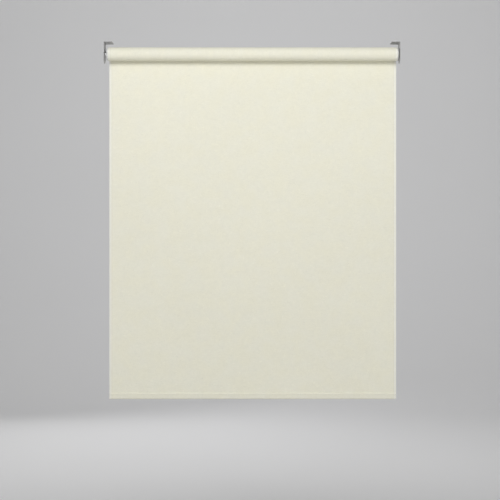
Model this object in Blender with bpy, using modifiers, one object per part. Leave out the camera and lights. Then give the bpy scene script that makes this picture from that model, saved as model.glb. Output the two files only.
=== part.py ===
"""Cordless spring roller blind with its fabric fully lowered. Metres, +Z up.

Origin: mid-width, on the plane of the bracket flanges' top faces, in the vertical plane of
the roller's axis. +X runs to the right as seen from the room, -Y faces the room.
The fabric comes off the back of the roller, so turning the roller by +X raises it.
"""
import math

import bmesh
import bpy
from mathutils import Matrix, Vector

MM = 0.001

# ---- driving dimensions, in millimetres -------------------------------------------------
HALF_WIDTH = 395.0        # outer face of each bracket
PLATE_T = 1.6             # bracket sheet thickness
PLATE_DEPTH = 40.0        # bracket depth, front to back
FLANGE_IN = 23.0          # how far the top flange reaches inwards
AXIS_Z = -31.0            # roller axis below the fixing plane
PLATE_R = 20.0            # radius of the bracket's lower end
LOBE_Z = AXIS_Z - 5.0     # centre of that end
SCREW_R = 2.25            # screw holes

TUBE_R = 17.5
TUBE_WALL = 1.2
TUBE_X0, TUBE_X1 = -383.2, 388.1
GROOVE_W, GROOVE_D = 5.2, 1.9

FABRIC_X0, FABRIC_X1 = -383.5, 388.4
ROLL_R0, ROLL_R1 = 17.8, 18.25
SHEET_Y0, SHEET_Y1 = 18.55, 19.0
HEM_TOP, HEM_BOTTOM = -938.8, -956.4
HEM_HALF_T = 2.7
FABRIC_T = 0.45
BAR_T, BAR_H = 3.0, 12.4
BAR_X0, BAR_X1 = -375.0, 379.9

PLUG_R = 16.0
CUP_R = 13.7
INNER_R = 13.5             # inside of the right plug and of the spring anchor
KEY_W, KEY_R = 8.0, 14.3  # slot in the plugs for the tube's groove
FLANGE_R = 18.1
BORE_R = 3.3
SPINDLE_R = 3.0
TANG_T, TANG_H = 2.4, 6.0
PIVOT_R = 10.6            # pawl pivots from the roller's axis
PAWL_L = 8.0
PAWL_REST = 220.0         # direction of pawl_a's arm at rest, degrees
PAWL_SWING = 16.0
RATCHET_R, NOTCH_R = 7.0, 4.5
PIN_R = 2.5
GAP = 0.3

SPRING_R, SPRING_WIRE = 5.0, 0.8
SPRING_X0, SPRING_X1, SPRING_TURNS = -358.8, -169.2, 16

# ---- scene set-up -----------------------------------------------------------------------
for old in list(bpy.data.objects):
    bpy.data.objects.remove(old, do_unlink=True)

parts = bpy.data.collections.new("roller_blind")
cutters = bpy.data.collections.new("cutters")
guides = bpy.data.collections.new("axes")
for c in (parts, cutters, guides):
    bpy.context.scene.collection.children.link(c)


def material(name, colour, rough, metal=0.0):
    m = bpy.data.materials.new(name)
    m.use_nodes = True
    s = m.node_tree.nodes["Principled BSDF"]
    s.inputs["Base Color"].default_value = (*colour, 1.0)
    s.inputs["Roughness"].default_value = rough
    s.inputs["Metallic"].default_value = metal
    return m


# ---- shape helpers ----------------------------------------------------------------------
def place(ob, collection=parts, mat=None):
    collection.objects.link(ob)
    if mat:
        ob.data.materials.append(mat)
    if collection is cutters:
        ob.hide_render = True
        ob.display_type = "WIRE"
    return ob


def smooth(ob, angle=40.0):
    ob.data.shade_smooth()
    ob.data.set_sharp_from_angle(angle=math.radians(angle))


def box(name, lo, hi, collection=parts, mat=None):
    """Box between two corners, in millimetres."""
    lo, hi = Vector(lo) * MM, Vector(hi) * MM
    bm = bmesh.new()
    bmesh.ops.create_cube(bm, size=1.0)
    bmesh.ops.scale(bm, vec=hi - lo, verts=bm.verts)
    bmesh.ops.translate(bm, vec=(hi + lo) / 2, verts=bm.verts)
    me = bpy.data.meshes.new(name)
    bm.to_mesh(me)
    bm.free()
    return place(bpy.data.objects.new(name, me), collection, mat)


def rod(name, r, x0, x1, y, z, segments=24, collection=parts, mat=None, along="X"):
    """Cylinder along X or Z. Its centre is at (y, z) along X, or (x0, y) along Z from z to x1."""
    bm = bmesh.new()
    if along == "X":
        length, mid, turn = x1 - x0, ((x0 + x1) / 2, y, z), Matrix.Rotation(math.pi / 2, 4, "Y")
    else:
        length, mid, turn = x1 - z, (x0, y, (x1 + z) / 2), Matrix.Identity(4)
    bmesh.ops.create_cone(
        bm, cap_ends=True, segments=segments, radius1=r * MM, radius2=r * MM, depth=length * MM
    )
    me = bpy.data.meshes.new(name)
    bm.to_mesh(me)
    bm.free()
    ob = bpy.data.objects.new(name, me)
    ob.matrix_world = Matrix.Translation(Vector(mid) * MM) @ turn
    return place(ob, collection, mat)


def turned(name, profile, mat, segments=48, y=0.0, z=AXIS_Z, closed=True, collection=parts):
    """Profile of (radius, x) points, turned about an axis along X through (y, z)."""
    me = bpy.data.meshes.new(name)
    verts = [(r * MM, 0.0, x * MM) for r, x in profile]
    edges = [(i, i + 1) for i in range(len(verts) - 1)]
    if closed:
        edges.append((len(verts) - 1, 0))
    me.from_pydata(verts, edges, [])
    ob = bpy.data.objects.new(name, me)
    ob.location = (0.0, y * MM, z * MM)
    ob.rotation_euler = (0.0, math.pi / 2, 0.0)
    place(ob, collection, mat)
    s = ob.modifiers.new("turn", "SCREW")
    s.axis, s.angle, s.screw_offset = "Z", math.tau, 0.0
    s.steps = s.render_steps = segments
    s.use_merge_vertices, s.merge_threshold = True, 0.000001
    s.use_normal_calculate = False
    s.use_smooth_shade = False
    return ob


def to_mesh(ob, name, collection, mat):
    """Turn a curve object into a welded mesh object in the same place."""
    bpy.context.view_layer.update()
    graph = bpy.context.evaluated_depsgraph_get()
    me = bpy.data.meshes.new_from_object(ob.evaluated_get(graph), depsgraph=graph)
    bm = bmesh.new()
    bm.from_mesh(me)
    bmesh.ops.remove_doubles(bm, verts=bm.verts, dist=0.0000005)
    bm.to_mesh(me)
    bm.free()
    me.name = name
    me.materials.clear()
    new = bpy.data.objects.new(name, me)
    new.matrix_world = ob.matrix_world.copy()
    bpy.data.objects.remove(ob, do_unlink=True)
    return place(new, collection, mat)


ALONG_X = Matrix(((0, 0, 1, 0), (1, 0, 0, 0), (0, 1, 0, 0), (0, 0, 0, 1)))   # outline (y, z), thickness in x
ALONG_Y = Matrix(((1, 0, 0, 0), (0, 0, -1, 0), (0, 1, 0, 0), (0, 0, 0, 1)))  # outline (x, z), thickness in y
ALONG_Z = Matrix.Identity(4)                                                  # outline (x, y), thickness in z


def plate(name, loops, lo, hi, turn, collection=parts, mat=None):
    """Flat outline with holes, given thickness from lo to hi along its normal, in millimetres."""
    cu = bpy.data.curves.new(name + "_outline", "CURVE")
    cu.dimensions, cu.fill_mode = "2D", "BOTH"
    cu.extrude = (hi - lo) / 2 * MM
    for loop in loops:
        sp = cu.splines.new("POLY")
        sp.points.add(len(loop) - 1)
        for p, (a, b) in zip(sp.points, loop):
            p.co = (a * MM, b * MM, 0.0, 1.0)
        sp.use_cyclic_u = True
    ob = bpy.data.objects.new(name + "_outline", cu)
    mid = (lo + hi) / 2 * MM * (-1.0 if turn is ALONG_Y else 1.0)
    ob.matrix_world = turn @ Matrix.Translation((0.0, 0.0, mid))
    guides.objects.link(ob)
    return to_mesh(ob, name, collection, mat)


def arc(cx, cy, r, a0, a1, n):
    return [
        (cx + r * math.cos(math.radians(a0 + (a1 - a0) * i / n)),
         cy + r * math.sin(math.radians(a0 + (a1 - a0) * i / n)))
        for i in range(n + 1)
    ]


def circle(cx, cy, r, n=24, turn=0.0):
    return arc(cx, cy, r, turn, turn + 360.0 * (n - 1) / n, n - 1)


def boolean(ob, cutter, how="DIFFERENCE"):
    m = ob.modifiers.new(how.lower() + "_" + cutter.name, "BOOLEAN")
    m.operation, m.solver, m.object = how, "EXACT", cutter
    return ob


def wire(name, points, r, mat, resolution=2):
    """Round wire through points, in millimetres."""
    cu = bpy.data.curves.new(name, "CURVE")
    cu.dimensions = "3D"
    cu.bevel_depth, cu.bevel_resolution, cu.use_fill_caps = r * MM, resolution, True
    sp = cu.splines.new("POLY")
    sp.points.add(len(points) - 1)
    for p, (x, y, z) in zip(sp.points, points):
        p.co = (x * MM, y * MM, z * MM, 1.0)
    return place(bpy.data.objects.new(name, cu), parts, mat)


def axis_empty(name, x, y, z):
    e = bpy.data.objects.new(name, None)
    e.empty_display_size = 0.02
    e.location = (x * MM, y * MM, z * MM)
    guides.objects.link(e)
    return e


def carry(empty, *objects):
    """Parent to an empty on the joint's axis, keeping the place."""
    bpy.context.view_layer.update()
    for ob in objects:
        at = ob.matrix_world.copy()
        ob.parent = empty
        ob.matrix_parent_inverse = empty.matrix_world.inverted()
        ob.matrix_world = at


# ---- materials --------------------------------------------------------------------------
BRACKET = material("bracket_paint", (0.55, 0.55, 0.55), 0.45)
STEEL = material("bright_steel", (0.55, 0.56, 0.58), 0.3, 1.0)
SPRING_STEEL = material("spring_steel", (0.25, 0.26, 0.28), 0.35, 1.0)
ALU = material("aluminium_tube", (0.75, 0.76, 0.78), 0.35, 1.0)
WHITE = material("white_plastic", (0.85, 0.85, 0.83), 0.4)
NYLON = material("nylon", (0.8, 0.8, 0.76), 0.5)
BRASS = material("pawl_brass", (0.72, 0.55, 0.25), 0.35, 1.0)
CLOTH = material("blind_fabric", (0.82, 0.79, 0.68), 0.85)


# ---- brackets ---------------------------------------------------------------------------
def bracket(name, side):
    """L-shaped bracket: side plate with a round lower end, and a flange that turns inwards."""
    t, out, bend = PLATE_T, HALF_WIDTH, 3.0
    low = LOBE_Z - PLATE_R - 1.0
    profile = [(out, low), (out, -bend)]
    profile += arc(out - bend, -bend, bend, 0, 90, 6)[1:]
    profile += [(out - FLANGE_IN, 0.0), (out - FLANGE_IN, -t)]
    profile += arc(out - bend, -bend, bend - t, 90, 0, 6)
    profile += [(out - t, low)]
    profile = [(side * x, z) for x, z in profile]
    half = PLATE_DEPTH / 2
    ob = plate(name, [profile], -half, half, ALONG_Y, parts, BRACKET)

    side_shape = [(-half, 1.0)] + arc(0.0, LOBE_Z, PLATE_R, 180.0, 360.0, 32) + [(half, 1.0)]
    a, b = sorted((side * (out - FLANGE_IN - 2.0), side * (out + 2.0)))
    boolean(ob, plate(name + "_side_shape", [side_shape], a, b, ALONG_X, cutters), "INTERSECT")

    inner, r = out - FLANGE_IN, 4.0
    top = [(out + 1.0, -half), (out + 1.0, half)]
    top += arc(inner + r, half - r, r, 90, 180, 5) + arc(inner + r, -half + r, r, 180, 270, 5)
    top = [(side * x, y) for x, y in top]
    boolean(ob, plate(name + "_top_shape", [top], low - 1.0, 1.0, ALONG_Z, cutters), "INTERSECT")

    for i, y in enumerate((-10.0, 10.0)):
        boolean(ob, rod(f"{name}_ceiling_hole_{i}", SCREW_R, side * (out - 12.0), 2.0, y, -4.0, 20, cutters, along="Z"))
    for i, y in enumerate((-11.5, 11.5)):
        a, b = sorted((side * (out - 5.0), side * (out + 3.0)))
        boolean(ob, rod(f"{name}_side_hole_{i}", SCREW_R, a, b, y, AXIS_Z - 13.0, 20, cutters))
    return ob


left = bracket("bracket_left", -1.0)
right = bracket("bracket_right", 1.0)

KEEP_Y, KEEP_Z = 11.0, AXIS_Z + 6.4
slot = box("tang_slot", (-397, -1.5, AXIS_Z - 3.3), (-391, 1.5, AXIS_Z + 4.0), cutters)
entry = box("tang_entry", (-397.5, -22.0, AXIS_Z + 3.0), (-390.5, 1.5001, AXIS_Z + 9.6), cutters)
boolean(left, slot)
boolean(left, entry)
boolean(left, rod("keeper_hole", 1.8, -397.0, -391.0, KEEP_Y, KEEP_Z, 20, cutters))
boolean(right, rod("bush_hole", 4.8, 391.0, 397.0, 0.0, AXIS_Z, 32, cutters))

bush = turned(
    "pin_bush",
    [(2.8, 394.8), (4.5, 394.8), (4.5, 393.1), (7.0, 393.1), (7.0, 392.3), (6.6, 391.9), (2.8, 391.9)],
    NYLON, 32,
)

# latch over the flat tang, on its rivet
keep_end = -16.4
stadium = arc(KEEP_Y, KEEP_Z, 3.0, -90, 90, 10) + arc(keep_end, KEEP_Z, 3.0, 90, 270, 10)
keeper = plate("pin_keeper", [stadium, circle(KEEP_Y, KEEP_Z, 1.8, 20)], -393.1, -391.9, ALONG_X, parts, STEEL)
rivet = turned(
    "keeper_rivet",
    [(0.0, -390.5), (2.2, -390.5), (3.0, -391.1), (3.0, -391.6), (1.5, -391.6), (1.5, -394.8), (0.0, -394.8)],
    STEEL, 20, KEEP_Y, KEEP_Z, closed=False,
)

# ---- tube and fabric on it --------------------------------------------------------------
def tube_loop(r, half_w, floor_r, n=48):
    """Circle with a square groove at the top, walked anticlockwise from the groove."""
    a = math.degrees(math.asin(half_w / r))
    pts = arc(0.0, AXIS_Z, r, 90.0 + a, 450.0 - a, n)
    return pts + [(half_w, AXIS_Z + floor_r), (-half_w, AXIS_Z + floor_r)]


groove_r = TUBE_R - GROOVE_D
tube = plate(
    "roller_tube",
    [
        tube_loop(TUBE_R, GROOVE_W / 2, groove_r),
        tube_loop(TUBE_R - TUBE_WALL, GROOVE_W / 2 + 1.0, groove_r - 1.0),
    ],
    TUBE_X0, TUBE_X1, ALONG_X, parts, ALU,
)
spline = box(
    "fabric_spline",
    (TUBE_X0 + 1.0, -GROOVE_W / 2 + 0.4, AXIS_Z + groove_r + GAP),
    (TUBE_X1 - 1.0, GROOVE_W / 2 - 0.4, AXIS_Z + TUBE_R - GAP),
    parts, WHITE,
)
roll = turned(
    "fabric_roll",
    [(ROLL_R0, FABRIC_X1), (ROLL_R1, FABRIC_X1), (ROLL_R1, FABRIC_X0), (ROLL_R0, FABRIC_X0)],
    CLOTH, 64,
)

sheet = box(
    "fabric_sheet",
    (FABRIC_X0, SHEET_Y0, HEM_TOP + GAP), (FABRIC_X1, SHEET_Y1, AXIS_Z), parts, CLOTH,
)


def fullness(half_t, half_h, cz, n=32, power=3.0):
    """Superellipse outline: the pocket's section, flat-sided with round ends."""
    cy, pts = (SHEET_Y0 + SHEET_Y1) / 2, []
    for i in range(n):
        a = math.tau * i / n
        c, s = math.cos(a), math.sin(a)
        k = (abs(c) ** power + abs(s) ** power) ** (-1.0 / power)
        pts.append((cy + half_t * k * c, cz + half_h * k * s))
    return pts


hem_z, hem_h = (HEM_TOP + HEM_BOTTOM) / 2, (HEM_TOP - HEM_BOTTOM) / 2
hem = plate(
    "fabric_hem",
    [fullness(HEM_HALF_T, hem_h, hem_z), fullness(HEM_HALF_T - FABRIC_T, hem_h - FABRIC_T, hem_z)],
    FABRIC_X0, FABRIC_X1, ALONG_X, parts, CLOTH,
)
bar_y = (SHEET_Y0 + SHEET_Y1) / 2


def rounded(cy, cz, w, h, r, n=3):
    a, b = w / 2 - r, h / 2 - r
    return (
        arc(cy + a, cz + b, r, 0, 90, n) + arc(cy - a, cz + b, r, 90, 180, n)
        + arc(cy - a, cz - b, r, 180, 270, n) + arc(cy + a, cz - b, r, 270, 360, n)
    )


bar = plate("bottom_bar", [rounded(bar_y, hem_z, BAR_T, BAR_H, 0.8)], BAR_X0, BAR_X1, ALONG_X, parts, ALU)


def bar_cap(name, x_in, x_out):
    """End cap whose nose tapers, so that it slides through the pocket."""
    bm = bmesh.new()
    bmesh.ops.create_cube(bm, size=1.0)
    for v in bm.verts:
        nose = (v.co.x > 0) == (x_out > x_in)
        v.co.x = x_out if nose else x_in
        v.co.y = bar_y + v.co.y * (1.8 if nose else 3.2)
        v.co.z = hem_z + v.co.z * (11.4 if nose else 12.6)
        v.co *= MM
    bmesh.ops.bevel(
        bm, geom=bm.edges, offset=0.55 * MM, offset_type="OFFSET", segments=3, profile=0.5, affect="EDGES"
    )
    me = bpy.data.meshes.new(name)
    bm.to_mesh(me)
    bm.free()
    return place(bpy.data.objects.new(name, me), parts, WHITE)


cap_l = bar_cap("bar_cap_left", BAR_X0 - GAP, FABRIC_X0 + 0.6)
cap_r = bar_cap("bar_cap_right", BAR_X1 + GAP, FABRIC_X1 - 0.6)

# ---- spring end, left -------------------------------------------------------------------
key = box("groove_key", (-400.0, -KEY_W / 2, AXIS_Z + KEY_R), (-140.0, KEY_W / 2, AXIS_Z + 22.0), cutters)
key_right = box("groove_key_right", (340.0, -KEY_W / 2, AXIS_Z + KEY_R), (388.25, KEY_W / 2, AXIS_Z + 22.0), cutters)

cover = turned(
    "ratchet_cover",
    [(BORE_R, -382.0), (CUP_R - GAP, -382.0), (CUP_R - GAP, -383.8), (FLANGE_R, -383.8), (FLANGE_R, -384.9),
     (17.6, -385.9), (16.6, -386.9), (15.0, -387.9), (12.8, -388.6), (11.2, -388.7), (BORE_R, -388.7)],
    WHITE, 48,
)
plug_l = turned(
    "end_plug_left",
    [(CUP_R, -350.0), (PLUG_R, -350.0), (PLUG_R, -383.2), (CUP_R, -383.2), (CUP_R, -374.0), (BORE_R, -374.0),
     (BORE_R, -370.0), (CUP_R, -370.0)],
    WHITE, 48,
)
boolean(plug_l, key)

spindle = turned(
    "spring_spindle",
    [(0.0, -152.0), (2.6, -152.0), (3.0, -152.6), (3.0, -367.1), (2.3, -367.1), (2.3, -368.7), (3.0, -368.7),
     (3.0, -389.0), (0.0, -389.0)],
    STEEL, 24, closed=False,
)
tang = box(
    "tang_shape", (-394.8, -TANG_T / 2, AXIS_Z - TANG_H / 2), (-388.0, TANG_T / 2, AXIS_Z + TANG_H / 2), cutters
)
boolean(spindle, tang, "UNION")


def ratchet_outline():
    """Two notches, half a turn apart: a ramp from 93 to 125 degrees, a floor, and a steep face at 144."""
    pts = []
    for start in (0.0, 180.0):
        pts += arc(0.0, AXIS_Z, RATCHET_R, start - 36.0, start + 93.0, 14)
        pts += arc(0.0, AXIS_Z, NOTCH_R, start + 125.0, start + 144.0, 3)
    return pts


ratchet = plate(
    "ratchet_disc", [ratchet_outline(), circle(0.0, AXIS_Z, BORE_R, 24)], -380.4, -376.6, ALONG_X, parts, STEEL
)
washer = plate(
    "thrust_washer", [circle(0.0, AXIS_Z, 7.0, 28), circle(0.0, AXIS_Z, 3.4, 28)],
    -369.7, -368.9, ALONG_X, parts, STEEL,
)
clip_loop = arc(0.0, AXIS_Z, 5.6, -50.0, 230.0, 20) + arc(0.0, AXIS_Z, 2.6, 230.0, -50.0, 14)
clip = plate("spindle_clip", [clip_loop], -368.4, -367.4, ALONG_X, parts, SPRING_STEEL)
collar = turned(
    "spring_collar", [(BORE_R, -360.6), (7.0, -360.6), (7.0, -366.4), (BORE_R, -366.4)], NYLON, 28
)
per_turn = 9
coil = [
    (
        SPRING_X0 + (SPRING_X1 - SPRING_X0) * i / (SPRING_TURNS * per_turn),
        SPRING_R * math.cos(math.tau * i / per_turn),
        AXIS_Z + SPRING_R * math.sin(math.tau * i / per_turn),
    )
    for i in range(SPRING_TURNS * per_turn + 1)
]
spring = wire("torsion_spring", coil, SPRING_WIRE, SPRING_STEEL)
anchor = turned(
    "spring_anchor",
    [(BORE_R, -150.0), (PLUG_R, -150.0), (PLUG_R, -167.5), (INNER_R, -167.5), (INNER_R, -156.0), (8.0, -156.0),
     (8.0, -167.5), (BORE_R, -167.5)],
    NYLON, 48,
)
boolean(anchor, key)


def pawl(name, turn):
    """Finger with a round boss on its pin; turn places the pair half a turn apart."""
    def spin(p):
        y, z = p
        a = math.radians(turn)
        return (y * math.cos(a) - z * math.sin(a), y * math.sin(a) + z * math.cos(a) + AXIS_Z)

    d = math.radians(PAWL_REST)
    e = (math.cos(d), math.sin(d))
    n = (-e[1], e[0])
    at = lambda s, w: (e[0] * s + n[0] * w, PIVOT_R + e[1] * s + n[1] * w)
    boss = 2.5
    a0 = PAWL_REST + 28.0
    loop = arc(0.0, PIVOT_R, boss, a0, a0 + 304.0, 18)
    loop += [at(PAWL_L - 0.6, -1.0), at(PAWL_L, -0.5), at(PAWL_L, 0.7), at(PAWL_L - 0.3, 1.0)]
    loop = [spin(p) for p in loop]
    hole = [spin(p) for p in circle(0.0, PIVOT_R, 1.6, 16)]
    return plate(name, [loop, hole], -380.2, -376.8, ALONG_X, parts, BRASS)


pawl_a, pawl_b = pawl("pawl_a", 0.0), pawl("pawl_b", 180.0)
pins = []
for name, sign in (("pawl_pin_a", 1.0), ("pawl_pin_b", -1.0)):
    z = AXIS_Z + sign * PIVOT_R
    pins.append(turned(
        name,
        [(0.0, -370.3), (1.3, -370.3), (1.3, -380.5), (2.2, -380.5), (2.2, -381.1), (1.9, -381.4), (0.0, -381.4)],
        STEEL, 16, 0.0, z, closed=False,
    ))
    boolean(plug_l, rod(name + "_hole", 1.6, -375.5, -368.5, 0.0, z, 16, cutters))

# ---- idle end, right --------------------------------------------------------------------
plug_r = turned(
    "end_plug_right",
    [(2.8, 391.2), (7.9, 391.2), (8.4, 391.9), (11.2, 391.9), (12.8, 391.8), (15.0, 391.3), (16.6, 390.6),
     (17.6, 389.9), (FLANGE_R, 389.3), (FLANGE_R, 388.7),
     (PLUG_R, 388.7), (PLUG_R, 352.0), (INNER_R, 352.0), (INNER_R, 381.0), (8.0, 381.0), (8.0, 356.0), (5.8, 356.0),
     (5.8, 384.0), (2.8, 384.0)],
    WHITE, 48,
)
boolean(plug_r, key_right)
idle = turned(
    "idle_pin",
    [(0.0, 394.5), (2.0, 394.5), (PIN_R, 394.0), (PIN_R, 383.7), (5.4, 383.7), (5.4, 380.7), (1.7, 380.7),
     (1.7, 366.0), (0.0, 366.0)],
    STEEL, 24, closed=False,
)
retainer = turned(
    "pin_retainer", [(2.1, 359.3), (5.5, 359.3), (5.5, 356.3), (2.1, 356.3)], NYLON, 24
)
turns, per = 6, 10
small = [
    (
        360.1 + 19.7 * i / (turns * per),
        3.9 * math.cos(math.tau * i / per),
        AXIS_Z + 3.9 * math.sin(math.tau * i / per),
    )
    for i in range(turns * per + 1)
]
idle_spring = wire("idle_pin_spring", small, 0.45, SPRING_STEEL)

# ---- joint axes -------------------------------------------------------------------------
roller_axis = axis_empty("roller_axis", 0.0, 0.0, AXIS_Z)
carry(roller_axis, tube, spline, roll, cover, plug_l, anchor, plug_r, retainer, idle_spring, *pins)
pin_axis = axis_empty("idle_pin_axis", 0.0, 0.0, AXIS_Z)
carry(roller_axis, pin_axis)
carry(pin_axis, idle)
for name, ob, sign in (("pawl_a_axis", pawl_a, 1.0), ("pawl_b_axis", pawl_b, -1.0)):
    e = axis_empty(name, -378.5, 0.0, AXIS_Z + sign * PIVOT_R)
    carry(roller_axis, e)
    carry(e, ob)
carry(axis_empty("keeper_axis", -392.5, KEEP_Y, KEEP_Z), keeper)
carry(axis_empty("bottom_bar_slide", 0.0, bar_y, hem_z), hem, bar, cap_l, cap_r)

for ob in parts.objects:
    if ob.type == "MESH" and not ob.modifiers:
        smooth(ob)
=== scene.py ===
import math

import bmesh
import bpy
from mathutils import Matrix, Vector, noise


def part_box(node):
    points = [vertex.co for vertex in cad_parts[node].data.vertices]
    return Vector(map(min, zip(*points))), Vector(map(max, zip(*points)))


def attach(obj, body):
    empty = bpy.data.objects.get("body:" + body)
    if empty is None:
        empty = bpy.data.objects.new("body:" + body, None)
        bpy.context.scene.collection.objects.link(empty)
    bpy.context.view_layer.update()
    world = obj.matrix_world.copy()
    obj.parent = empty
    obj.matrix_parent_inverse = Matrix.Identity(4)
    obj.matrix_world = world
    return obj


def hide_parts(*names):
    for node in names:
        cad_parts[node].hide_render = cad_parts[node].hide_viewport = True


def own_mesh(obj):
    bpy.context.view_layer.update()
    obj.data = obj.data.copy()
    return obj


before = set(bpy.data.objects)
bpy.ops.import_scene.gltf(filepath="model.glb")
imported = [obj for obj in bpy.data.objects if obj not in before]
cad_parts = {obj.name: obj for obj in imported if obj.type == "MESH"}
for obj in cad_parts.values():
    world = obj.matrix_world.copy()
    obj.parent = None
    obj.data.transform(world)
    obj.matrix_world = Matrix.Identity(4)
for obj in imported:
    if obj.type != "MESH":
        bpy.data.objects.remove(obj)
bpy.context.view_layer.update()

scene = bpy.context.scene
MM = 0.001


# ------------------------------------------------------------------------------ placement
def span(node):
    lo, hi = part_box(node)
    return [c / MM for c in lo], [c / MM for c in hi]


roll_lo, roll_hi = span("fabric_roll")
sheet_lo, sheet_hi = span("fabric_sheet")
hem_lo, hem_hi = span("fabric_hem")
cover_lo, cover_hi = span("ratchet_cover")
idle_lo, idle_hi = span("end_plug_right")
left_lo, left_hi = span("bracket_left")
right_lo, right_hi = span("bracket_right")

AXIS = (roll_lo[2] + roll_hi[2]) / 2          # height of the roller's axis, mm
ROLL_R = (roll_hi[2] - roll_lo[2]) / 2
X0, X1 = roll_lo[0], roll_hi[0]               # the fabric's side edges
CLOTH_T = 0.32                                # fabric thickness
WRAP_PITCH = 0.34                             # each turn of fabric takes this much radius
HEM_TOP = hem_hi[2]
HEM_LOW = hem_lo[2]
HEM_Y = (hem_lo[1] + hem_hi[1]) / 2
SHEET_Y_TOP = ROLL_R - CLOTH_T / 2            # middle of the cloth at the tangent
SHEET_Y_LOW = HEM_Y - 0.06


# ------------------------------------------------------------------------------ materials
class Graph:
    """Short names for the shader nodes used here."""

    def __init__(self, name):
        self.m = bpy.data.materials.new(name)
        self.m.use_nodes = True
        self.nt = self.m.node_tree
        self.nt.nodes.clear()
        out = self.nt.nodes.new("ShaderNodeOutputMaterial")
        self.p = self.nt.nodes.new("ShaderNodeBsdfPrincipled")
        self.nt.links.new(self.p.outputs[0], out.inputs[0])

    def put(self, socket, value):
        if isinstance(value, bpy.types.NodeSocket):
            self.nt.links.new(value, socket)
        else:
            socket.default_value = value

    def set(self, **values):
        for k, v in values.items():
            self.put(self.p.inputs[k.replace("_", " ")], v)

    def math(self, op, a, b=0.0, c=None, clamp=False):
        n = self.nt.nodes.new("ShaderNodeMath")
        n.operation, n.use_clamp = op, clamp
        self.put(n.inputs[0], a)
        self.put(n.inputs[1], b)
        if c is not None:
            self.put(n.inputs[2], c)
        return n.outputs[0]

    def add(self, *terms):
        total = terms[0]
        for t in terms[1:]:
            total = self.math("ADD", total, t)
        return total

    def mul(self, a, b):
        return self.math("MULTIPLY", a, b)

    def vmul(self, vec, scale):
        n = self.nt.nodes.new("ShaderNodeVectorMath")
        n.operation = "MULTIPLY"
        self.put(n.inputs[0], vec)
        n.inputs[1].default_value = scale
        return n.outputs[0]

    def tint(self, colour, factor):
        """A colour times a number."""
        n = self.nt.nodes.new("ShaderNodeVectorMath")
        n.operation = "SCALE"
        self.put(n.inputs[0], colour if isinstance(colour, bpy.types.NodeSocket) else colour[:3])
        self.put(n.inputs["Scale"], factor)
        return n.outputs[0]

    def object_co(self):
        return self.nt.nodes.new("ShaderNodeTexCoord").outputs["Object"]

    def attribute(self, name):
        n = self.nt.nodes.new("ShaderNodeAttribute")
        n.attribute_type, n.attribute_name = "GEOMETRY", name
        return n

    def split(self, vec):
        n = self.nt.nodes.new("ShaderNodeSeparateXYZ")
        self.put(n.inputs[0], vec)
        return n.outputs

    def noise(self, vec, scale, detail=2.0, rough=0.5, distortion=0.0):
        n = self.nt.nodes.new("ShaderNodeTexNoise")
        n.inputs["Scale"].default_value = scale
        n.inputs["Detail"].default_value = detail
        n.inputs["Roughness"].default_value = rough
        n.inputs["Distortion"].default_value = distortion
        self.put(n.inputs["Vector"], vec)
        return n.outputs["Fac"]

    def range(self, value, lo, hi, out_lo=0.0, out_hi=1.0, soft=True):
        n = self.nt.nodes.new("ShaderNodeMapRange")
        n.interpolation_type = "SMOOTHSTEP" if soft else "LINEAR"
        self.put(n.inputs["Value"], value)
        n.inputs["From Min"].default_value = lo
        n.inputs["From Max"].default_value = hi
        n.inputs["To Min"].default_value = out_lo
        n.inputs["To Max"].default_value = out_hi
        return n.outputs["Result"]

    def mix(self, factor, a, b):
        n = self.nt.nodes.new("ShaderNodeMix")
        n.data_type = "RGBA"
        self.put(n.inputs[0], factor)
        self.put(n.inputs[6], a)
        self.put(n.inputs[7], b)
        return n.outputs[2]

    def bump(self, height, strength, distance):
        n = self.nt.nodes.new("ShaderNodeBump")
        n.inputs["Strength"].default_value = strength
        n.inputs["Distance"].default_value = distance
        self.put(n.inputs["Height"], height)
        self.nt.links.new(n.outputs[0], self.p.inputs["Normal"])

    def edge_wear(self, radius=0.0012):
        """0 on flat faces, rising on outer edges, from the surface's own shape."""
        n = self.nt.nodes.new("ShaderNodeNewGeometry")
        return self.range(n.outputs["Pointiness"], 0.52, 0.60)


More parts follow.
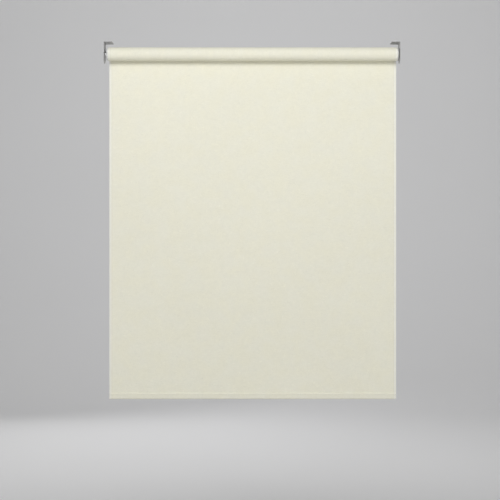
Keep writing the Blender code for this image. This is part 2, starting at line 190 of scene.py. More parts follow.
def fabric(name, base=(0.86, 0.842, 0.708), edges=True, painted_highlight_z=None):
    """Cream linen-look weave. The 'cloth' attribute gives metres across and along the cut."""
    g = Graph(name)
    co = g.attribute("cloth").outputs["Vector"]
    u, v, _ = g.split(co)
    mottle = g.noise(co, 95.0, 3.0, 0.62)
    large = g.noise(co, 3.2, 1.0, 0.5)
    across = g.noise(g.vmul(co, (75.0, 640.0, 400.0)), 1.0, 1.0, 0.5, 0.15)
    along = g.noise(g.vmul(co, (640.0, 75.0, 400.0)), 1.0, 1.0, 0.5, 0.15)
    slub = g.add(g.range(across, 0.62, 0.76), g.range(along, 0.63, 0.77))
    thin = g.add(g.range(across, 0.38, 0.25), g.range(along, 0.37, 0.25))
    pitch = 0.00085
    warp = g.math("SINE", g.mul(u, math.tau / pitch))
    weft = g.math("SINE", g.mul(v, math.tau / pitch))
    cross = g.mul(warp, weft)
    yarn = g.noise(g.vmul(co, (1300.0, 1300.0, 300.0)), 1.0, 2.0, 0.6)
    crease = g.noise(g.vmul(co, (150.0, 340.0, 200.0)), 1.0, 1.5, 0.5, 1.1)
    crinkle = g.noise(g.vmul(co, (330.0, 130.0, 200.0)), 1.0, 1.5, 0.5, 1.1)
    marks = g.add(g.range(crease, 0.62, 0.74), g.range(crinkle, 0.63, 0.75), g.mul(g.range(crease, 0.37, 0.26), -1.0))
    shade = g.add(
        1.0,
        g.mul(g.math("SUBTRACT", mottle, 0.5), 0.075),
        g.mul(g.math("SUBTRACT", large, 0.5), 0.04),
        g.mul(marks, 0.042),
        g.mul(g.math("SUBTRACT", g.noise(co, 34.0, 2.0, 0.55), 0.5), 0.035),
        g.mul(slub, 0.028),
        g.mul(thin, -0.034),
        g.mul(cross, 0.012),
        g.mul(g.math("SUBTRACT", yarn, 0.5), 0.05),
    )
    colour = base + (1.0,)
    warm = g.mix(g.range(g.noise(co, 22.0, 2.0), 0.3, 0.7), (base[0], base[1] * 0.997, base[2] * 0.985, 1.0), (base[0] * 0.997, base[1], base[2] * 1.012, 1.0))
    if edges:
        half, mid = (X1 - X0) / 2 * MM, (X0 + X1) / 2 * MM
        off = g.math("ABSOLUTE", g.math("SUBTRACT", u, mid))
        band = g.range(off, half - 0.0058, half - 0.0046)
        line = g.mul(g.range(off, half - 0.0086, half - 0.0066), g.range(off, half - 0.0056, half - 0.0070))
        warm = g.mix(g.mul(band, 0.55), warm, (base[0] * 1.0, base[1] * 1.01, base[2] * 1.13, 1.0))
        shade = g.add(shade, g.mul(line, -0.05), g.mul(band, 0.015))
    if painted_highlight_z:                                           # painted highlight: a paler band along the hem's top fold, where the top of the pocket would catch the light
        z = g.split(g.object_co())[2]
        painted_highlight = g.mul(g.range(z, painted_highlight_z - 0.0030, painted_highlight_z - 0.0012), g.range(z, painted_highlight_z + 0.0024, painted_highlight_z + 0.0006))
        shade = g.add(shade, g.mul(painted_highlight, 0.06))
    g.set(Base_Color=g.tint(warm, shade))
    g.set(Roughness=g.range(mottle, 0.3, 0.7, 0.78, 0.9))
    g.set(Sheen_Weight=0.12, Sheen_Roughness=0.45, Specular_IOR_Level=0.22)
    height = g.add(
        g.mul(cross, 0.30), g.mul(g.math("ABSOLUTE", warp), 0.12), g.mul(slub, 0.5), g.mul(thin, -0.3),
        g.mul(yarn, 0.35), g.mul(mottle, 0.35), g.mul(marks, 0.3),
    )
    g.bump(height, 0.55, 0.00016)
    return g.m


def painted(name, base=(0.36, 0.36, 0.355)):
    """Satin powder coat on pressed steel, with bare edges just starting to show."""
    g = Graph(name)
    co = g.object_co()
    peel = g.noise(co, 900.0, 3.0, 0.55)
    blotch = g.noise(co, 60.0, 3.0, 0.6)
    dust = g.range(g.noise(co, 240.0, 4.0, 0.7), 0.58, 0.78)
    wear = g.mul(g.edge_wear(), g.range(g.noise(co, 420.0, 3.0, 0.7), 0.45, 0.6))
    shade = g.add(1.0, g.mul(g.math("SUBTRACT", blotch, 0.5), 0.10), g.mul(dust, -0.05))
    paint = g.tint(base + (1.0,), shade)
    g.set(Base_Color=g.mix(g.mul(wear, 0.6), paint, (0.56, 0.56, 0.57, 1.0)))
    g.set(Metallic=g.mul(wear, 0.5))
    g.set(Roughness=g.range(blotch, 0.3, 0.7, 0.40, 0.52))
    g.bump(g.add(g.mul(peel, 0.7), g.mul(wear, -0.6)), 0.35, 0.00006)
    return g.m


def metal(name, base, rough, along=0, grain=0.12, scratch=0.35, spots=0.0):
    """Metal with drawing or turning marks that run along one axis."""
    g = Graph(name)
    co = g.object_co()
    scale = [2600.0, 2600.0, 2600.0]
    scale[along] = 40.0
    lines = g.noise(g.vmul(co, tuple(scale)), 1.0, 3.0, 0.6)
    cloud = g.noise(co, 130.0, 3.0, 0.6)
    marks = g.range(g.noise(g.vmul(co, (900.0, 300.0, 900.0)), 1.0, 2.0, 0.6, 1.2), 0.62, 0.7)
    shade = g.add(1.0, g.mul(g.math("SUBTRACT", lines, 0.5), grain), g.mul(g.math("SUBTRACT", cloud, 0.5), 0.14), g.mul(marks, -0.07))
    colour = g.tint(base + (1.0,), shade)
    if spots:
        stain = g.range(g.noise(co, 380.0, 4.0, 0.7), 0.6, 0.72)
        colour = g.mix(g.mul(stain, spots), colour, (base[0] * 0.5, base[1] * 0.42, base[2] * 0.34, 1.0))
    g.set(Base_Color=colour, Metallic=1.0)
    g.set(Roughness=g.add(rough, g.mul(g.math("SUBTRACT", lines, 0.5), scratch * 0.4), g.mul(g.math("SUBTRACT", cloud, 0.5), 0.12)))
    g.bump(g.add(g.mul(lines, 0.6), g.mul(marks, -0.4)), 0.3, 0.00003)
    return g.m


def moulded(name, base, rough=0.36, amount=1.0):
    """Moulded plastic: fine spark texture, faint flow marks and a little dust."""
    g = Graph(name)
    co = g.object_co()
    spark = g.noise(co, 2600.0, 2.0, 0.5)
    flow = g.noise(g.vmul(co, (60.0, 160.0, 160.0)), 1.0, 3.0, 0.6, 0.8)
    dust = g.range(g.noise(co, 320.0, 4.0, 0.7), 0.56, 0.76)
    shade = g.add(1.0, g.mul(g.math("SUBTRACT", flow, 0.5), 0.05 * amount), g.mul(dust, -0.045 * amount))
    g.set(Base_Color=g.tint(base + (1.0,), shade))
    g.set(Roughness=g.add(rough, g.mul(g.math("SUBTRACT", flow, 0.5), 0.16), g.mul(dust, 0.12)))
    g.bump(g.add(g.mul(spark, 0.5), g.mul(flow, 0.3)), 0.25, 0.00004)
    return g.m


def thread(name, base):
    g = Graph(name)
    co = g.object_co()
    twist = g.noise(g.vmul(co, (5200.0, 2600.0, 2600.0)), 1.0, 2.0)
    g.set(Base_Color=g.tint(base + (1.0,), g.add(0.94, g.mul(twist, 0.12))), Roughness=0.55, Sheen_Weight=0.2)
    g.bump(twist, 0.5, 0.00004)
    return g.m


CLOTH = fabric("cream_blind_fabric")
HEM_CLOTH = fabric("cream_blind_fabric_hem_painted_shade", (0.838, 0.820, 0.690), painted_highlight_z=(HEM_TOP - 0.6) * MM)   # painted shade: a darker base colour because two layers over the bar let less light through; the top fold gets a painted highlight
PAINT = painted("bracket_powder_coat")
ZINC = metal("zinc_plated_steel", (0.58, 0.58, 0.59), 0.30, along=0)
ZINC_PLATE = metal("zinc_plated_sheet", (0.46, 0.46, 0.46), 0.48, along=1)
LATCH = painted("latch_coat", (0.19, 0.19, 0.188))
SPRING = metal("oiled_spring_steel", (0.20, 0.20, 0.21), 0.28, along=0, spots=0.25)
ALU = metal("mill_finish_aluminium", (0.78, 0.79, 0.80), 0.32, along=0, grain=0.18)
BRASS = metal("stamped_brass", (0.72, 0.50, 0.20), 0.30, along=1, spots=0.3)
WHITE = moulded("white_moulded_plastic", (0.82, 0.82, 0.80))
NYLON = moulded("natural_nylon", (0.74, 0.72, 0.65), 0.45)
THREAD = thread("hem_thread", (0.90, 0.885, 0.76))


# ------------------------------------------------------------------------------ geometry
def link(name, me, mat):
    ob = bpy.data.objects.new(name, me)
    scene.collection.objects.link(ob)
    if mat:
        me.materials.clear()
        me.materials.append(mat)
    return ob


def finish_mesh(me, angle=34.0, recalc=True):
    if recalc:
        bm = bmesh.new()
        bm.from_mesh(me)
        bmesh.ops.recalc_face_normals(bm, faces=bm.faces)
        bm.to_mesh(me)
        bm.free()
    me.shade_smooth()
    me.set_sharp_from_angle(angle=math.radians(angle))
    me.update()


def bake(ob):
    """Apply an object's modifiers."""
    bpy.context.view_layer.update()
    dg = bpy.context.evaluated_depsgraph_get()
    me = bpy.data.meshes.new_from_object(ob.evaluated_get(dg), preserve_all_data_layers=True, depsgraph=dg)
    ob.modifiers.clear()
    ob.data = me
    return ob


def soften(points, radius, n=3, closed=True):
    """Round each corner of a 2D outline."""
    out, m = [], len(points)
    for i, p in enumerate(points):
        p = Vector(p)
        if not closed and i in (0, m - 1):
            out.append(tuple(p))
            continue
        a, b = Vector(points[i - 1]) - p, Vector(points[(i + 1) % m]) - p
        if a.length < 1e-9 or b.length < 1e-9 or abs(a.angle(b) - math.pi) < 0.2:
            out.append(tuple(p))
            continue
        d = min(radius, a.length * 0.45, b.length * 0.45)
        s, e = p + a.normalized() * d, p + b.normalized() * d
        for k in range(n + 1):
            t = k / n
            out.append(tuple(s * (1 - t) ** 2 + p * (2 * t * (1 - t)) + e * t ** 2))
    return out


def turned(name, profile, mat, segments=96, y=0.0, z=None, closed=True, ease=0.25, n=2):
    """(radius, x) profile in mm turned about an axis along X."""
    z = AXIS if z is None else z
    profile = soften(profile, ease, n, closed) if ease else list(profile)
    verts, rings = [], []
    for r, x in profile:
        if r < 1e-6:
            rings.append([len(verts)])
            verts.append((x * MM, y * MM, z * MM))
        else:
            rings.append(list(range(len(verts), len(verts) + segments)))
            for i in range(segments):
                a = math.tau * i / segments
                verts.append((x * MM, (y + r * math.cos(a)) * MM, (z + r * math.sin(a)) * MM))
    faces = []
    pairs = list(zip(rings, rings[1:])) + ([(rings[-1], rings[0])] if closed else [])
    for a, b in pairs:
        for i in range(segments):
            j = (i + 1) % segments
            quad = [a[i % len(a)], a[j % len(a)], b[j % len(b)], b[i % len(b)]]
            quad = list(dict.fromkeys(quad))
            if len(quad) > 2:
                faces.append(quad)
    me = bpy.data.meshes.new(name)
    me.from_pydata(verts, [], faces)
    finish_mesh(me)
    return link(name, me, mat)


def arc(cx, cy, r, a0, a1, n):
    return [
        (cx + r * math.cos(math.radians(a0 + (a1 - a0) * i / n)), cy + r * math.sin(math.radians(a0 + (a1 - a0) * i / n)))
        for i in range(n + 1)
    ]


def circle(cx, cy, r, n=48):
    return arc(cx, cy, r, 0, 360.0 * (n - 1) / n, n - 1)


ALONG_X = Matrix(((0, 0, 1, 0), (1, 0, 0, 0), (0, 1, 0, 0), (0, 0, 0, 1)))
ALONG_Y = Matrix(((1, 0, 0, 0), (0, 0, -1, 0), (0, 1, 0, 0), (0, 0, 0, 1)))
ALONG_Z = Matrix.Identity(4)


def plate(name, loops, lo, hi, turn, mat=None, edge=0.0):
    """Flat outline with holes, thick from lo to hi, with rounded edges where edge is set."""
    cu = bpy.data.curves.new(name + "_outline", "CURVE")
    cu.dimensions, cu.fill_mode = "2D", "BOTH"
    cu.extrude = ((hi - lo) / 2 - edge) * MM
    if edge:
        cu.bevel_depth, cu.bevel_resolution, cu.offset = edge * MM, 2, -edge * MM
    for loop in loops:
        sp = cu.splines.new("POLY")
        sp.points.add(len(loop) - 1)
        for p, (a, b) in zip(sp.points, loop):
            p.co = (a * MM, b * MM, 0.0, 1.0)
        sp.use_cyclic_u = True
    ob = bpy.data.objects.new(name + "_outline", cu)
    scene.collection.objects.link(ob)
    bpy.context.view_layer.update()
    dg = bpy.context.evaluated_depsgraph_get()
    me = bpy.data.meshes.new_from_object(ob.evaluated_get(dg), depsgraph=dg)
    bpy.data.objects.remove(ob, do_unlink=True)
    mid = (lo + hi) / 2 * MM * (-1.0 if turn is ALONG_Y else 1.0)
    me.transform(turn @ Matrix.Translation((0.0, 0.0, mid)))
    bm = bmesh.new()
    bm.from_mesh(me)
    bmesh.ops.remove_doubles(bm, verts=bm.verts, dist=0.0000005)
    bm.to_mesh(me)
    bm.free()
    me.name = name
    finish_mesh(me)
    return link(name, me, mat)


def rod(name, r, a, b, at, along, r2=None, segments=40):
    """Cone or cylinder from a to b along an axis; at gives the other two coordinates, in axis order."""
    bm = bmesh.new()
    bmesh.ops.create_cone(bm, cap_ends=True, segments=segments, radius1=r * MM, radius2=(r if r2 is None else r2) * MM, depth=(b - a) * MM)
    me = bpy.data.meshes.new(name)
    bm.to_mesh(me)
    bm.free()
    mid = (a + b) / 2
    if along == "X":
        m = Matrix.Translation(Vector((mid, *at)) * MM) @ Matrix.Rotation(math.pi / 2, 4, "Y")
    else:
        m = Matrix.Translation(Vector((*at, mid)) * MM)
    me.transform(m)
    return link(name, me, None)


def block(name, lo, hi):
    bm = bmesh.new()
    bmesh.ops.create_cube(bm, size=1.0)
    lo, hi = Vector(lo) * MM, Vector(hi) * MM
    bmesh.ops.scale(bm, vec=hi - lo, verts=bm.verts)
    bmesh.ops.translate(bm, vec=(hi + lo) / 2, verts=bm.verts)
    me = bpy.data.meshes.new(name)
    bm.to_mesh(me)
    bm.free()
    return link(name, me, None)


def carve(ob, cutters, how="DIFFERENCE"):
    for c in cutters:
        m = ob.modifiers.new("cut", "BOOLEAN")
        m.operation, m.solver, m.object = how, "EXACT", c
    bake(ob)
    for c in cutters:
        bpy.data.objects.remove(c, do_unlink=True)
    return ob


def ease_edges(ob, width, segments=2, angle=35.0):
    bm = bmesh.new()
    bm.from_mesh(ob.data)
    bmesh.ops.remove_doubles(bm, verts=bm.verts, dist=0.000002)
    bmesh.ops.dissolve_limit(bm, angle_limit=math.radians(0.5), verts=bm.verts, edges=bm.edges)
    bm.to_mesh(ob.data)
    bm.free()
    b = ob.modifiers.new("ease", "BEVEL")
    b.width, b.segments, b.limit_method, b.angle_limit = width * MM, segments, "ANGLE", math.radians(angle)
    b.miter_outer = "MITER_ARC"
    bake(ob)
    ob.data.shade_smooth()
    ob.data.set_sharp_from_angle(angle=math.radians(50.0))
    w = ob.modifiers.new("normals", "WEIGHTED_NORMAL")
    w.keep_sharp = True
    bake(ob)
    return ob


def cloth_strip(name, us, vs, outer, inner, mat=CLOTH, side=0.0):
    """Closed thin strip of cloth. outer(u, v) and inner(u, v) give its two faces in mm; the
    'cloth' attribute keeps metres across and along the cut."""
    nu, nv = len(us), len(vs)
    verts, attr = [], []
    for face, layer in ((outer, 0.0), (inner, 0.37)):
        for v in vs:
            for u in us:
                verts.append(Vector(face(u, v)) * MM)
                attr.append((u * MM, v * MM, layer))
    at = lambda k, i, j: k * nu * nv + j * nu + i
    faces = []
    for j in range(nv - 1):
        for i in range(nu - 1):
            faces.append((at(0, i, j), at(0, i + 1, j), at(0, i + 1, j + 1), at(0, i, j + 1)))
            faces.append((at(1, i, j), at(1, i, j + 1), at(1, i + 1, j + 1), at(1, i + 1, j)))
    for j in range(nv - 1):
        for i in (0, nu - 1):
            faces.append((at(0, i, j), at(0, i, j + 1), at(1, i, j + 1), at(1, i, j)))
    for i in range(nu - 1):
        for j in (0, nv - 1):
            faces.append((at(0, i, j), at(1, i, j), at(1, i + 1, j), at(0, i + 1, j)))
    me = bpy.data.meshes.new(name)
    me.from_pydata(verts, [], faces)
    a = me.attributes.new("cloth", "FLOAT_VECTOR", "POINT")
    a.data.foreach_set("vector", [c for p in attr for c in p])
    finish_mesh(me, 40.0)
    return link(name, me, mat)


def wire(name, points, r, mat, sides=10):
    """Round wire mesh along points, in mm, with domed ends."""
    pts = [Vector(p) for p in points]
    verts, faces = [], []
    up = None
    for i, p in enumerate(pts):
        t = (pts[min(i + 1, len(pts) - 1)] - pts[max(i - 1, 0)]).normalized()
        up = t.orthogonal().normalized() if up is None else (up - t * up.dot(t)).normalized()
        w = t.cross(up)
        for k in range(sides):
            a = math.tau * k / sides
            verts.append((p + (up * math.cos(a) + w * math.sin(a)) * r) * MM)
    for i in range(len(pts) - 1):
        for k in range(sides):
            q = (k + 1) % sides
            faces.append((i * sides + k, i * sides + q, (i + 1) * sides + q, (i + 1) * sides + k))
    for i, j, sign in ((0, 1, -1.0), (len(pts) - 1, len(pts) - 2, 1.0)):
        tip = len(verts)
        verts.append((pts[i] + (pts[i] - pts[j]).normalized() * r * 0.5) * MM)
        for k in range(sides):
            faces.append((i * sides + k, i * sides + (k + 1) % sides, tip))
    me = bpy.data.meshes.new(name)
    me.from_pydata(verts, [], faces)
    finish_mesh(me, 60.0)
    return link(name, me, mat)


def put(ob, body, *nodes, slot=None):
    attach(ob, body)
    if nodes:
        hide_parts(*nodes)
    return ob


# ------------------------------------------------------------------------------ camera
cam = bpy.data.cameras.new("photo_camera")
cam_ob = bpy.data.objects.new("photo_camera", cam)
scene.collection.objects.link(cam_ob)
cam_ob.location = (-0.005, -3.0, -0.555)
cam_ob.rotation_euler = (math.pi / 2, 0.0, 0.0)
cam.lens, cam.sensor_width = 80.7, 36.0
cam.clip_start, cam.clip_end = 0.05, 60.0
scene.camera = cam_ob

# ------------------------------------------------------------------------------ fabric
us = [X0 + d for d in (0.0, 0.6, 1.6, 3.0, 5.0, 8.0, 12.0, 18.0)]
us += [X0 + 18.0 + (X1 - X0 - 36.0) * i / 40 for i in range(1, 40)]
us += [X1 - d for d in (18.0, 12.0, 8.0, 5.0, 3.0, 1.6, 0.6, 0.0)]
mid_x = (X0 + X1) / 2
half_x = (X1 - X0) / 2


def hang(u, v):
    """How far the hanging cloth stands off its plane at u across and v down, in mm."""
    fade = min(1.0, max(0.0, v / 90.0)) * min(1.0, max(0.0, (HANG - v) / 60.0))
    wave = noise.noise(Vector((u / 210.0, v / 330.0, 4.7))) * 0.55 + noise.noise(Vector((u / 90.0, v / 160.0, 9.1))) * 0.14
    edge = max(0.0, 1.0 - (half_x - abs(u - mid_x)) / 11.0)
    curl = -0.55 * edge ** 2 * (0.8 + 0.4 * noise.noise(Vector((v / 120.0, u / 900.0, 2.0))))
    return (wave + curl) * fade


HANG = AXIS - (HEM_TOP - 0.0)          # from the tangent on the roll to the top of the hem


def sheet_mid(v):
    t = v / HANG
    return SHEET_Y_TOP + (SHEET_Y_LOW - SHEET_Y_TOP) * t


vs = [HANG * i / 84 for i in range(85)]
sheet = cloth_strip(
    "hanging_fabric", us, vs,
    lambda u, v: (u, sheet_mid(v) + hang(u, v) - CLOTH_T / 2, AXIS - v),
    lambda u, v: (u, sheet_mid(v) + hang(u, v) + CLOTH_T / 2, AXIS - v),
)
put(sheet, "frame", "fabric_sheet", slot="blind_fabric")

# the turns on the tube: from the tangent at the back, over the top, to the groove
TURNS = 1.25
arcs = [TURNS * 360.0 * i / 150 for i in range(151)]


def wound(u, deg, depth):
    r = ROLL_R - WRAP_PITCH * deg / 360.0 - depth
    ease_in = min(1.0, deg / 20.0)
    r += 0.03 * noise.noise(Vector((u / 60.0, deg / 50.0, 1.0))) * ease_in - 0.02
    a = math.radians(deg)
    return (u, r * math.cos(a), AXIS + r * math.sin(a))


roll_us = us[::1]
roll = cloth_strip(
    "wound_fabric", roll_us, [-math.radians(d) * ROLL_R for d in arcs],
    lambda u, v: wound(u, -math.degrees(v / ROLL_R), 0.0),
    lambda u, v: wound(u, -math.degrees(v / ROLL_R), CLOTH_T),
)
put(roll, "roller", "fabric_roll", slot="blind_fabric")

# hem pocket: round the bar and up behind the sheet, where it is sewn
spine = [
    (SHEET_Y_LOW, HEM_TOP), (HEM_Y - 0.55, HEM_TOP - 0.75), (HEM_Y - 1.75, HEM_TOP - 2.1), (HEM_Y - 2.40, HEM_TOP - 3.9),
    (HEM_Y - 2.24, HEM_TOP - 6.6), (HEM_Y - 2.12, HEM_TOP - 9.4), (HEM_Y - 2.24, HEM_TOP - 12.0),
    (HEM_Y - 2.38, HEM_TOP - 14.0), (HEM_Y - 1.6, HEM_TOP - 16.4),
    (HEM_Y, HEM_LOW + 0.16), (HEM_Y + 1.55, HEM_TOP - 16.2), (HEM_Y + 2.28, HEM_TOP - 13.4),
    (HEM_Y + 2.36, HEM_TOP - 9.0), (HEM_Y + 2.28, HEM_TOP - 4.4), (HEM_Y + 1.7, HEM_TOP - 2.1),
    (HEM_Y + 0.62, HEM_TOP - 0.7), (SHEET_Y_LOW + CLOTH_T + 0.04, HEM_TOP + 0.6), (SHEET_Y_LOW + CLOTH_T + 0.04, HEM_TOP + 8.0),
]


def smooth_line(points, per=6):
    """Catmull-Rom curve through 2D points."""
    p = [Vector(q) for q in points]
    p = [p[0] * 2 - p[1]] + p + [p[-1] * 2 - p[-2]]
    out = []
    for i in range(1, len(p) - 2):
        for k in range(per):
            t = k / per
            a, b, c, d = p[i - 1], p[i], p[i + 1], p[i + 2]
            out.append(0.5 * (2 * b + (c - a) * t + (2 * a - 5 * b + 4 * c - d) * t ** 2 + (3 * b - a - 3 * c + d) * t ** 3))
    return out + [p[-2]]


line = smooth_line(spine)
run = [0.0]
for a, b in zip(line, line[1:]):
    run.append(run[-1] + (b - a).length)
normals = []
for i in range(len(line)):
    t = (line[min(i + 1, len(line) - 1)] - line[max(i - 1, 0)]).normalized()
    normals.append(Vector((-t.y, t.x)) if i else Vector((-1.0, 0.0)))
# the pocket's first normal faces the room, as the sheet's does
if normals[10].x > 0:
    normals = [-n if i else n for i, n in enumerate(normals)]


def hem_point(u, v, side):
    i = min(range(len(run)), key=lambda k: abs(run[k] - (v - HANG)))
    c = line[i] + normals[i] * side * CLOTH_T / 2
    end = max(0.0, 1.0 - (half_x - abs(u - mid_x)) / 10.0)
    full = 1.0 - 0.42 * end ** 1.3
    lift = 0.10 * noise.noise(Vector((u / 55.0, v / 30.0, 6.0)))
    depth = min(1.0, max(0.0, (HEM_TOP - c.y) / 3.0)) if i < len(line) - 7 else 0.0
    y = HEM_Y + (c.x - HEM_Y) * (full if depth else 1.0) + lift * depth * (1.0 if c.x < HEM_Y else -1.0)
    return (u, y if depth else c.x, c.y)


hem_us = us
hem = cloth_strip(
    "hem_pocket", hem_us, [HANG + r for r in run],
    lambda u, v: hem_point(u, v, 1.0),
    lambda u, v: hem_point(u, v, -1.0),
    HEM_CLOTH,
)
put(hem, "bottom_bar_body", "fabric_hem", slot="blind_fabric")


def stitches(name, y, z, length=2.3, gap=0.8, r=0.17):
    bm = bmesh.new()
    x = X0 + 6.0
    while x + length < X1 - 6.0:
        rings = []
        for t, s in ((0.0, 0.35), (0.18, 0.85), (0.5, 1.0), (0.82, 0.85), (1.0, 0.35)):
            bow = r * 0.9 * math.sin(math.pi * t)
            wob = 0.03 * noise.noise(Vector((x, t, 3.0)))
            ring = []
            for k in range(6):
                a = math.tau * k / 6
                ring.append(bm.verts.new(Vector((x + length * t, y - bow * (1 if y < SHEET_Y_LOW else -1) + r * s * math.cos(a), z + wob + r * s * math.sin(a))) * MM))
            rings.append(ring)
        for a, b in zip(rings, rings[1:]):
            for k in range(6):
                bm.faces.new((a[k], a[(k + 1) % 6], b[(k + 1) % 6], b[k]))
        bm.faces.new(rings[0])
        bm.faces.new(rings[-1])
        x += length + gap
    me = bpy.data.meshes.new(name)
    bm.to_mesh(me)
    bm.free()
    finish_mesh(me, 60.0)
    return link(name, me, THREAD)


front_seam = put(stitches("hem_stitching_front", SHEET_Y_LOW - CLOTH_T / 2 - 0.02, HEM_TOP + 3.4), "bottom_bar_body", slot="blind_fabric")
back_seam = put(stitches("hem_stitching_back", SHEET_Y_LOW + CLOTH_T * 1.5 + 0.06, HEM_TOP + 3.4), "bottom_bar_body", slot="blind_fabric")

# ------------------------------------------------------------------------------ end fittings
FLANGE = (cover_hi[2] - cover_lo[2]) / 2
out, back = cover_lo[0], cover_hi[0]
cover = turned(
    "left_end_cap",
    [(3.3, back), (FLANGE - 4.7, back), (FLANGE - 4.7, out + 4.9), (FLANGE, out + 4.9)]
    + [(11.2 + 6.9 * math.cos(math.radians(a)), out + 3.9 - 3.9 * math.sin(math.radians(a))) for a in range(0, 91, 9)]
    + [(10.6, out + 0.6), (7.6, out + 0.6), (7.0, out), (3.3, out)],
    WHITE, 128, ease=0.5, n=4,
)
put(cover, "roller", "ratchet_cover", slot="white_plastic")

out, PLUG = idle_hi[0], 16.0
plug = turned(
    "right_end_plug",
    [(2.8, out - 0.7), (8.0, out - 0.7), (8.5, out)]
    + [(11.2 + 6.9 * math.cos(math.radians(a)), out - 2.6 + 2.6 * math.sin(math.radians(a))) for a in range(90, -1, -9)]
    + [(FLANGE, out - 3.2), (PLUG, out - 3.2), (PLUG, 352.0),
     (13.5, 352.0), (13.5, 381.0), (8.0, 381.0), (8.0, 356.0), (5.8, 356.0), (5.8, 384.0), (2.8, 384.0)],
    WHITE, 128, ease=0.3, n=3,
)
carve(plug, [block("key", (340.0, -4.0, AXIS + 14.3), (out - 3.65, 4.0, AXIS + 22.0))])
plug.data.shade_smooth()
plug.data.set_sharp_from_angle(angle=math.radians(34.0))
put(plug, "roller", "end_plug_right", slot="white_plastic")

pin = turned(
    "sprung_idle_pin",
    [(0.0, 394.5), (1.7, 394.5), (2.5, 393.7), (2.5, 383.7), (5.4, 383.7), (5.4, 380.7), (1.7, 380.7), (1.7, 366.0), (0.0, 366.0)],
    ZINC, 64, closed=False, ease=0.3, n=3,
)
put(pin, "idle_pin_body", "idle_pin", slot="bright_steel")

bush = turned(
    "nylon_pin_bush",
    [(2.8, 394.8), (4.5, 394.8), (4.5, 393.1), (7.0, 393.1), (7.0, 391.9), (2.8, 391.9)],
    NYLON, 64, ease=0.3, n=3,
)
put(bush, "frame", "pin_bush", slot="nylon")

rivet_lo, rivet_hi = span("keeper_rivet")
KEEP_Y, KEEP_Z = (rivet_lo[1] + rivet_hi[1]) / 2, (rivet_lo[2] + rivet_hi[2]) / 2
rivet = turned(
    "latch_rivet",
    [(0.0, -390.5), (1.6, -390.55), (2.6, -390.9), (3.0, -391.4), (3.0, -391.6), (1.5, -391.6), (1.5, -394.8), (0.0, -394.8)],
    ZINC, 48, KEEP_Y, KEEP_Z, closed=False, ease=0.12, n=2,
)
put(rivet, "frame", "keeper_rivet", slot="bright_steel")

latch_end = span("pin_keeper")[0][1] + 3.0
stadium = arc(KEEP_Y, KEEP_Z, 3.0, -90, 90, 24) + arc(latch_end, KEEP_Z, 3.0, 90, 270, 24)
latch = plate(
    "flat_pin_latch", [stadium, circle(KEEP_Y, KEEP_Z, 1.8, 32), circle(latch_end + 1.6, KEEP_Z, 1.1, 24)],
    -393.1, -391.9, ALONG_X, LATCH, edge=0.18,
)
put(latch, "keeper", "pin_keeper", slot="bright_steel")


def bracket(name, side, node):
    out, t, bend, reach_in = 395.0, 1.6, 3.0, 23.0
    half, lobe = 20.0, AXIS - 5.0
    low = lobe - half - 1.0
    profile = [(out, low), (out, -bend)] + arc(out - bend, -bend, bend, 0, 90, 12)[1:]
    profile += [(out - reach_in, 0.0), (out - reach_in, -t)] + arc(out - bend, -bend, bend - t, 90, 0, 12)
    profile += [(out - t, low)]
    ob = plate(name, [[(side * x, z) for x, z in profile]], -half, half, ALONG_Y, PAINT)
    shape = [(-half, 1.0)] + arc(0.0, lobe, half, 180.0, 360.0, 96) + [(half, 1.0)]
    a, b = sorted((side * (out - reach_in - 2.0), side * (out + 2.0)))
    carve(ob, [plate("side_shape", [shape], a, b, ALONG_X)], "INTERSECT")
    inner, r = out - reach_in, 4.0
    top = [(out + 1.0, -half), (out + 1.0, half)]
    top += arc(inner + r, half - r, r, 90, 180, 12) + arc(inner + r, -half + r, r, 180, 270, 12)
    carve(ob, [plate("top_shape", [[(side * x, y) for x, y in top]], low - 1.0, 1.0, ALONG_Z)], "INTERSECT")
    cutters = []
    for y in (-10.0, 10.0):
        x = side * (out - 12.0)
        cutters.append(rod("screw", 2.25, -4.0, 2.0, (x, y), "Z"))
        cutters.append(rod("sink", 4.1, -t - 0.2, -t + 1.0, (x, y), "Z", r2=2.2))
    for y in (-11.5, 11.5):
        at = (y, AXIS - 13.0)
        a, b = sorted((side * (out - 5.0), side * (out + 3.0)))
        cutters.append(rod("screw", 2.25, a, b, at, "X"))
        inner_face = side * (out - t)
        a, b = inner_face - side * 0.2, inner_face + side * 1.0
        if side > 0:
            cutters.append(rod("sink", 4.1, a, b, at, "X", r2=2.2))
        else:
            cutters.append(rod("sink", 2.2, b, a, at, "X", r2=4.1))
    if side < 0:
        cutters.append(block("slot", (-397, -1.5, AXIS - 3.3), (-391, 1.5, AXIS + 4.0)))
        cutters.append(block("entry", (-397.5, -22.0, AXIS + 3.0), (-390.5, 1.5001, AXIS + 9.6)))
        cutters.append(rod("rivet", 1.8, -397.0, -391.0, (KEEP_Y, KEEP_Z), "X"))
    else:
        cutters.append(rod("bush", 4.8, 391.0, 397.0, (0.0, AXIS), "X", segments=64))
    carve(ob, cutters)
    ease_edges(ob, 0.22)
    put(ob, "frame", node, slot="bracket_paint")
    return ob


bracket("left_bracket_plate", -1.0, "bracket_left")
bracket("right_bracket_plate", 1.0, "bracket_right")

# ------------------------------------------------------------------------------ springs
spring_lo, spring_hi = span("torsion_spring")
coils = 44
a, b = spring_lo[0] + 0.85, spring_hi[0] - 0.85
helix = [
    (a + (b - a) * i / (coils * 24), 5.0 * math.cos(math.tau * i / 24), AXIS + 5.0 * math.sin(math.tau * i / 24))
    for i in range(coils * 24 + 1)
]
lift_spring = put(wire("lifting_spring", helix, 0.75, SPRING, 8), "frame", "torsion_spring", slot="spring_steel")

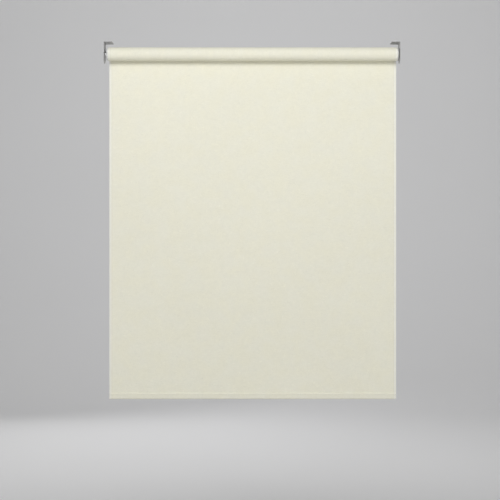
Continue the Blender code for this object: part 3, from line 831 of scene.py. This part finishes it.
end_lo, end_hi = span("idle_pin_spring")
base_x = span("pin_retainer")[1][0]
a, b = base_x + 0.75, 380.7 - 0.75
helix = [
    (a + (b - a) * min(1.0, max(0.0, (i / 216 - 0.06) / 0.88)), 3.9 * math.cos(math.tau * i / 24), AXIS + 3.9 * math.sin(math.tau * i / 24))
    for i in range(217)
]
pin_spring = put(wire("idle_pin_spring_coil", helix, 0.45, SPRING, 8), "roller", "idle_pin_spring", slot="spring_steel")

# ------------------------------------------------------------------------------ CAD nodes
for node, mat in {
    "roller_tube": ALU, "bottom_bar": ALU, "fabric_spline": WHITE, "end_plug_left": WHITE, "bar_cap_left": WHITE,
    "bar_cap_right": WHITE, "spring_anchor": NYLON, "spring_collar": NYLON, "pin_retainer": NYLON,
    "spring_spindle": ZINC, "ratchet_disc": ZINC_PLATE, "thrust_washer": ZINC_PLATE, "spindle_clip": SPRING,
    "pawl_a": BRASS, "pawl_b": BRASS, "pawl_pin_a": ZINC, "pawl_pin_b": ZINC,
}.items():
    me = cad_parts[node].data
    me.materials.clear()
    me.materials.append(mat)

# ------------------------------------------------------------------------------ soft pieces
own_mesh(sheet)
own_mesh(pin_spring)

# ------------------------------------------------------------------------------ stage
stage = Graph("pale_studio")
co = stage.object_co()
stage.set(Base_Color=stage.mix(stage.noise(co, 1.4, 2.0), (0.80, 0.80, 0.805, 1.0), (0.81, 0.81, 0.815, 1.0)), Roughness=0.9)
FLOOR, BACK, BEND = -1.42, 4.4, 1.6
side = [(-7.5, FLOOR), (BACK - BEND, FLOOR)]
side += [(BACK - BEND + BEND * math.sin(math.radians(a)), FLOOR + BEND - BEND * math.cos(math.radians(a))) for a in range(6, 91, 6)]
side += [(BACK, 6.0)]
verts, faces = [], []
for x in (-40.0, 40.0):
    verts += [(x, y, z) for y, z in side]
n = len(side)
faces = [(i, i + 1, n + i + 1, n + i) for i in range(n - 1)]
me = bpy.data.meshes.new("studio_sweep")
me.from_pydata(verts, [], faces)
me.shade_smooth()
sweep = link("studio_sweep", me, stage.m)


def area(name, at, aim, size, power, size_y=None, colour=(1, 1, 1)):
    l = bpy.data.lights.new(name, "AREA")
    l.shape, l.size, l.size_y = "RECTANGLE", size, size_y or size
    l.energy, l.color = power, colour
    o = bpy.data.objects.new(name, l)
    o.location = at
    o.rotation_euler = (Vector(aim) - Vector(at)).to_track_quat("-Z", "Y").to_euler()
    o.visible_camera = False
    scene.collection.objects.link(o)
    return o


area("key_front", (-0.1, -1.55, 0.47), (0.0, 0.0, -0.12), 2.3, 17.4, 0.62)
area("fill_low", (0.3, -2.7, -0.86), (0.0, 0.0, -0.1), 1.8, 10.2, 0.5)
area("fill_back", (-0.7, 2.7, 0.1), (0.0, 0.0, -0.45), 2.0, 11.0)
area("wall_wash", (0.0, 1.5, 0.9), (0.0, 4.4, -0.7), 3.0, 22.0)
world = bpy.data.worlds.new("studio_world")
scene.world = world
world.use_nodes = True
sky = world.node_tree
back = sky.nodes["Background"]
back.inputs[0].default_value = (1.0, 1.0, 1.0, 1.0)
around = sky.nodes.new("ShaderNodeTexCoord")
height = sky.nodes.new("ShaderNodeSeparateXYZ")
fade = sky.nodes.new("ShaderNodeMapRange")          # dimmer overhead, as under a soffit
fade.inputs["From Min"].default_value, fade.inputs["From Max"].default_value = 0.05, 0.9
fade.inputs["To Min"].default_value, fade.inputs["To Max"].default_value = 0.56, 0.24
sky.links.new(around.outputs["Generated"], height.inputs[0])
sky.links.new(height.outputs[2], fade.inputs["Value"])
sky.links.new(fade.outputs["Result"], back.inputs[1])
scene.view_settings.view_transform = "Standard"
